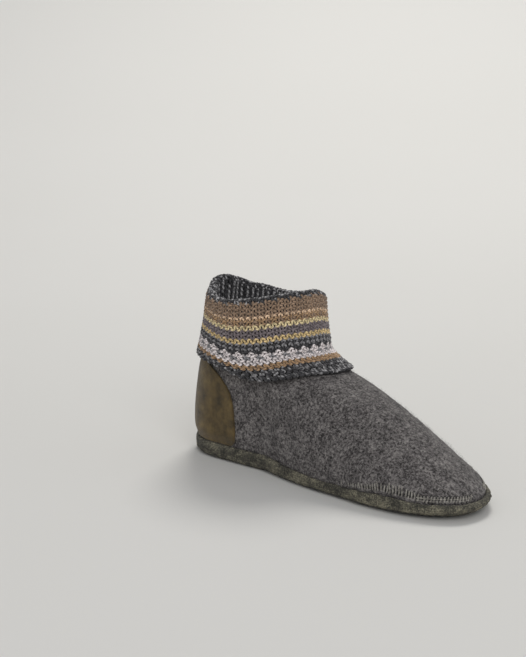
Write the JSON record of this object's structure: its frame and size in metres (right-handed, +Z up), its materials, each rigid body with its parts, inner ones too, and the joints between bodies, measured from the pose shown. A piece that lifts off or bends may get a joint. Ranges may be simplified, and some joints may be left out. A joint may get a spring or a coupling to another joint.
{
  "type": "ankle slipper",
  "caption": "Left felted-wool ankle slipper with a knitted cuff folded down, a suede heel patch and a ribbed rubber cup sole.",
  "frame": {"origin": "on the floor under the middle of the slipper's bounding box", "axes": "+X towards the toe, +Y towards the outer side of the foot, +Z up"},
  "size_m": [0.2633, 0.094, 0.1356],
  "materials": {
    "outsole": "matt grained",
    "insole": "felt",
    "upper": "boiled wool felt",
    "cuff": "coarse wool knit",
    "heel_patch": "suede",
    "side_tab": "woven tape"
  },
  "bodies": {
    "root": {"outsole": "outsole", "insole": "insole", "upper": "upper", "cuff": "cuff", "heel_patch": "heel_patch", "side_tab": "side_tab"}
  },
  "joints": []
}
